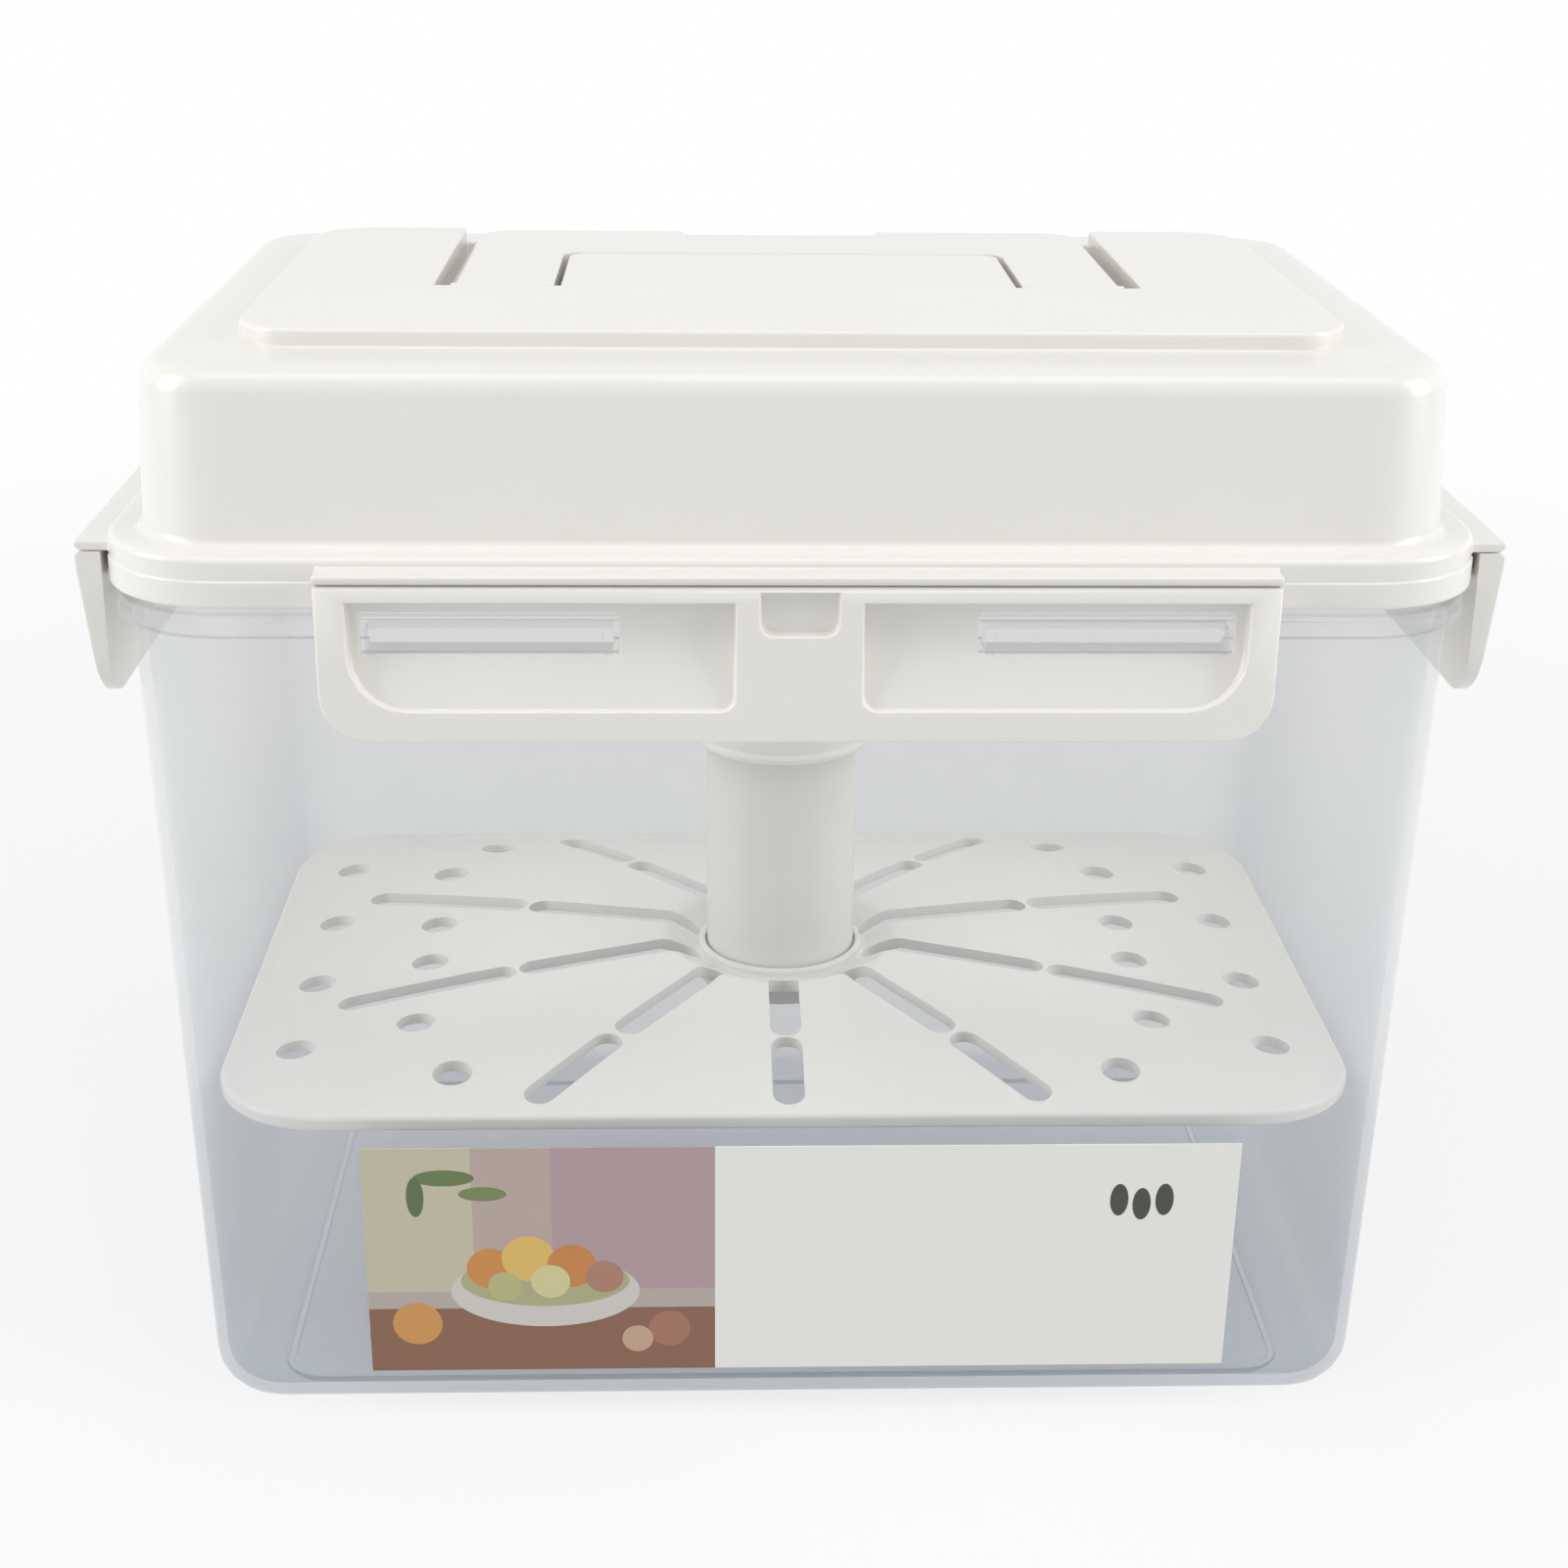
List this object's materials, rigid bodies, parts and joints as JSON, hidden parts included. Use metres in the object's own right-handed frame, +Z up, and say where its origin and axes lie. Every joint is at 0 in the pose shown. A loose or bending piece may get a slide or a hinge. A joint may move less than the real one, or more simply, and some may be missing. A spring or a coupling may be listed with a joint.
{
  "type": "fermentation container",
  "caption": "Clear box with a white latched lid, folding handle and a sprung press plate on a telescoping column that holds food under brine.",
  "frame": {"origin": "centre of the base, on the surface the tub stands on", "axes": "+X to the right along the long side, -Y to the front with the label, +Z up"},
  "size_m": [0.2428, 0.1676, 0.2039],
  "materials": {
    "clear_plastic": "clear moulded polypropylene",
    "white_plastic": "satin moulded polypropylene",
    "seal": "soft translucent",
    "spring_steel": "drawn stainless wire",
    "label_film": "printed film"
  },
  "bodies": {
    "container": {"tub": "clear_plastic", "label": "label_film", "lid": "white_plastic", "gasket": "seal", "sleeve": "white_plastic", "spring": "spring_steel"},
    "press": {"inner_tube": "white_plastic", "press_plate": "white_plastic"},
    "handle": {"handle": "white_plastic"},
    "front_latch": {"front_latch": "white_plastic"},
    "back_latch": {"back_latch": "white_plastic"},
    "left_latch": {"left_latch": "white_plastic"},
    "right_latch": {"right_latch": "white_plastic"}
  },
  "joints": [
    {"name": "press_slide", "type": "slide", "parent": "container", "child": "press", "axis": [0, 0, 1], "range_m": [0, 0.04], "stiffness_N_per_m": 100, "springref_m": -0.03, "deforming": ["spring"]},
    {"name": "handle_turn", "type": "hinge", "parent": "container", "child": "handle", "pos_m": [0, -0.0101, 0.2012], "axis": [1, 0, 0], "range_deg": [0, 90]},
    {"name": "front_latch_turn", "type": "hinge", "parent": "container", "child": "front_latch", "pos_m": [0, -0.0833, 0.16783], "axis": [-1, 0, 0], "range_deg": [0, 105]},
    {"name": "back_latch_turn", "type": "hinge", "parent": "container", "child": "back_latch", "pos_m": [0, 0.0833, 0.16783], "axis": [1, 0, 0], "range_deg": [0, 105]},
    {"name": "left_latch_turn", "type": "hinge", "parent": "container", "child": "left_latch", "pos_m": [-0.1209, 0, 0.16783], "axis": [0, 1, 0], "range_deg": [0, 105]},
    {"name": "right_latch_turn", "type": "hinge", "parent": "container", "child": "right_latch", "pos_m": [0.1209, 0, 0.16783], "axis": [0, -1, 0], "range_deg": [0, 105]}
  ]
}
